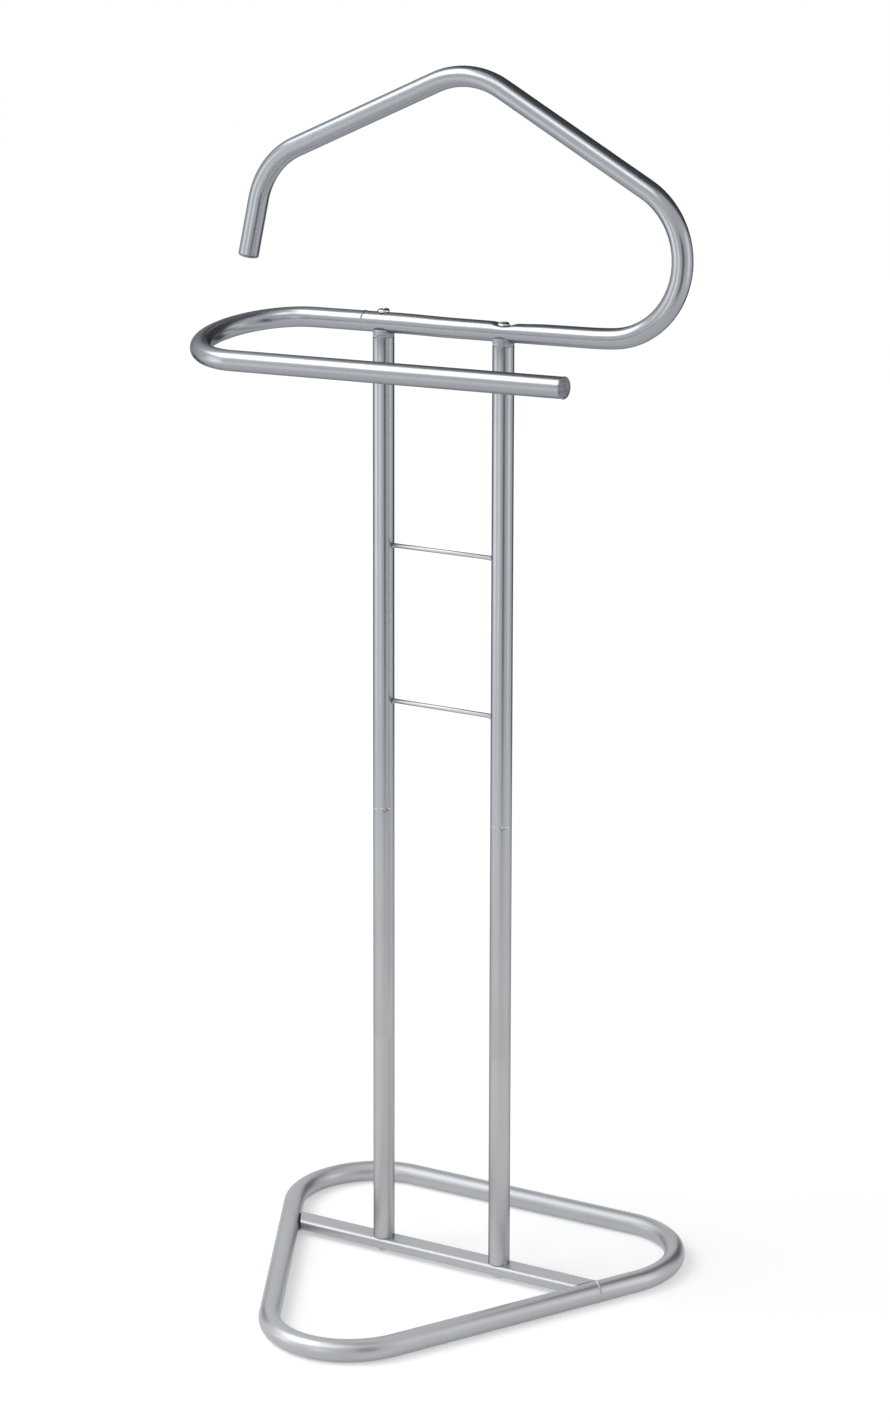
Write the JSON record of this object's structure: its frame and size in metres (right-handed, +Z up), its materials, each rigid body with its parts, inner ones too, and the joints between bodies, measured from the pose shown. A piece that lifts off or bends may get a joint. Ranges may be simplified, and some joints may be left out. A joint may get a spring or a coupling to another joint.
{
  "type": "valet stand",
  "caption": "Floor-standing valet stand of silver lacquered steel tube, with a hanger loop, a trouser rail and a triangular base.",
  "frame": {"origin": "on the floor under the middle of the stand's footprint", "axes": "+Z up the posts, -Y the front, where the base ring's point and the trouser rail lie, +X to the right seen from the front"},
  "size_m": [0.4434, 0.3646, 1.05],
  "materials": {
    "silver_lacquer": "smooth silver lacquer, semi-gloss",
    "zinc_plate": "bright zinc plate",
    "grey_plastic": "fine-grained silver grey moulding"
  },
  "bodies": {
    "root": {"base_ring": "silver_lacquer", "base_crossbar": "silver_lacquer", "lower_post_left": "silver_lacquer", "lower_post_right": "silver_lacquer", "upper_post_left": "silver_lacquer", "upper_post_right": "silver_lacquer", "upper_rung": "silver_lacquer", "lower_rung": "silver_lacquer", "hanger_tube": "silver_lacquer", "trouser_rail": "silver_lacquer", "post_sleeve_left": "zinc_plate", "post_sleeve_right": "zinc_plate", "top_sleeve": "zinc_plate", "base_insert_left": "zinc_plate", "base_insert_right": "zinc_plate", "top_insert_left": "zinc_plate", "top_insert_right": "zinc_plate", "top_screw_left": "zinc_plate", "top_screw_right": "zinc_plate", "base_screw_left": "zinc_plate", "base_screw_right": "zinc_plate", "saddle_left": "grey_plastic", "saddle_right": "grey_plastic", "hanger_end_cap": "grey_plastic", "rail_end_cap": "grey_plastic"}
  },
  "joints": []
}
